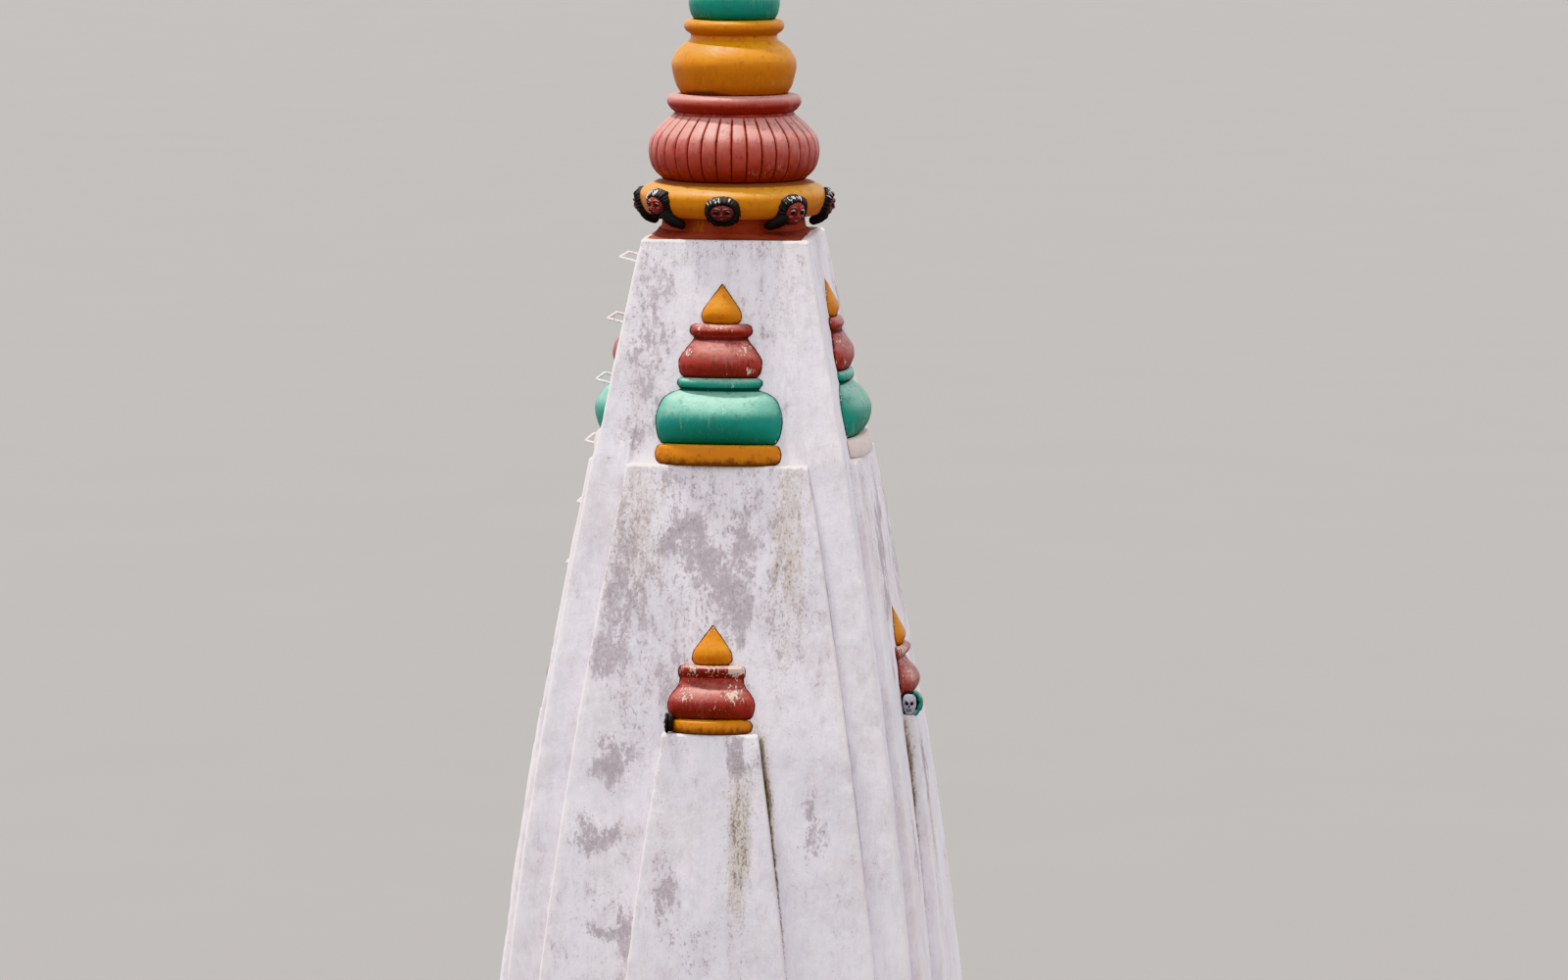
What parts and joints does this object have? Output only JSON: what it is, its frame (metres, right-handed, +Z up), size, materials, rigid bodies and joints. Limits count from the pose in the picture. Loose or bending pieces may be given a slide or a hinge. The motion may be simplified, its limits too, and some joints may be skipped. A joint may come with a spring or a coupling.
{
  "type": "temple spire",
  "caption": "Tapering whitewashed masonry temple spire with raised face panels, painted half-pot finials on each face and a stack of painted pots on its flat top.",
  "frame": {"origin": "middle of the underside of the plinth, on the ground", "axes": "+Z up, -Y out of the front face, -X out of the face that carries the step irons"},
  "size_m": [3.76, 3.76, 10.5401],
  "materials": {
    "limewash": "weathered white limewash on lime plaster, grey flaked patches and beige streaks",
    "oxide_red": "dark red oxide paint on mortar, worn",
    "ochre": "ochre enamel paint on cement, semi-gloss, grimy in the hollows",
    "green": "sea green enamel paint on cement, semi-gloss",
    "red": "brick red enamel paint on cement, semi-gloss, worn on the ledges",
    "iron": "bent round bar under white paint with rust at the bends"
  },
  "bodies": {
    "root": {"plinth": "limewash", "spire_core": "limewash", "wide_panel_front": "limewash", "wide_panel_right": "limewash", "wide_panel_back": "limewash", "wide_panel_left": "limewash", "narrow_panel_front": "limewash", "narrow_panel_right": "limewash", "narrow_panel_back": "limewash", "narrow_panel_left": "limewash", "upper_ring_front": "ochre", "upper_ring_right": "ochre", "upper_ring_back": "ochre", "upper_ring_left": "ochre", "upper_green_pot_front": "green", "upper_green_pot_right": "green", "upper_green_pot_back": "green", "upper_green_pot_left": "green", "upper_red_pot_front": "red", "upper_red_pot_right": "red", "upper_red_pot_back": "red", "upper_red_pot_left": "red", "upper_bud_front": "ochre", "upper_bud_right": "ochre", "upper_bud_back": "ochre", "upper_bud_left": "ochre", "lower_ring_front": "ochre", "lower_ring_right": "ochre", "lower_ring_back": "ochre", "lower_ring_left": "ochre", "lower_red_pot_front": "red", "lower_red_pot_right": "red", "lower_red_pot_back": "red", "lower_red_pot_left": "red", "lower_bud_front": "ochre", "lower_bud_right": "ochre", "lower_bud_back": "ochre", "lower_bud_left": "ochre", "step_iron_1": "iron", "step_iron_2": "iron", "step_iron_3": "iron", "step_iron_4": "iron", "step_iron_5": "iron", "step_iron_6": "iron", "top_bed": "oxide_red", "crown_foot": "oxide_red", "crown_mask_ring": "ochre", "crown_ribbed_pot": "red", "crown_yellow_pot": "ochre", "crown_green_pot": "green", "crown_bud": "ochre"}
  },
  "joints": []
}
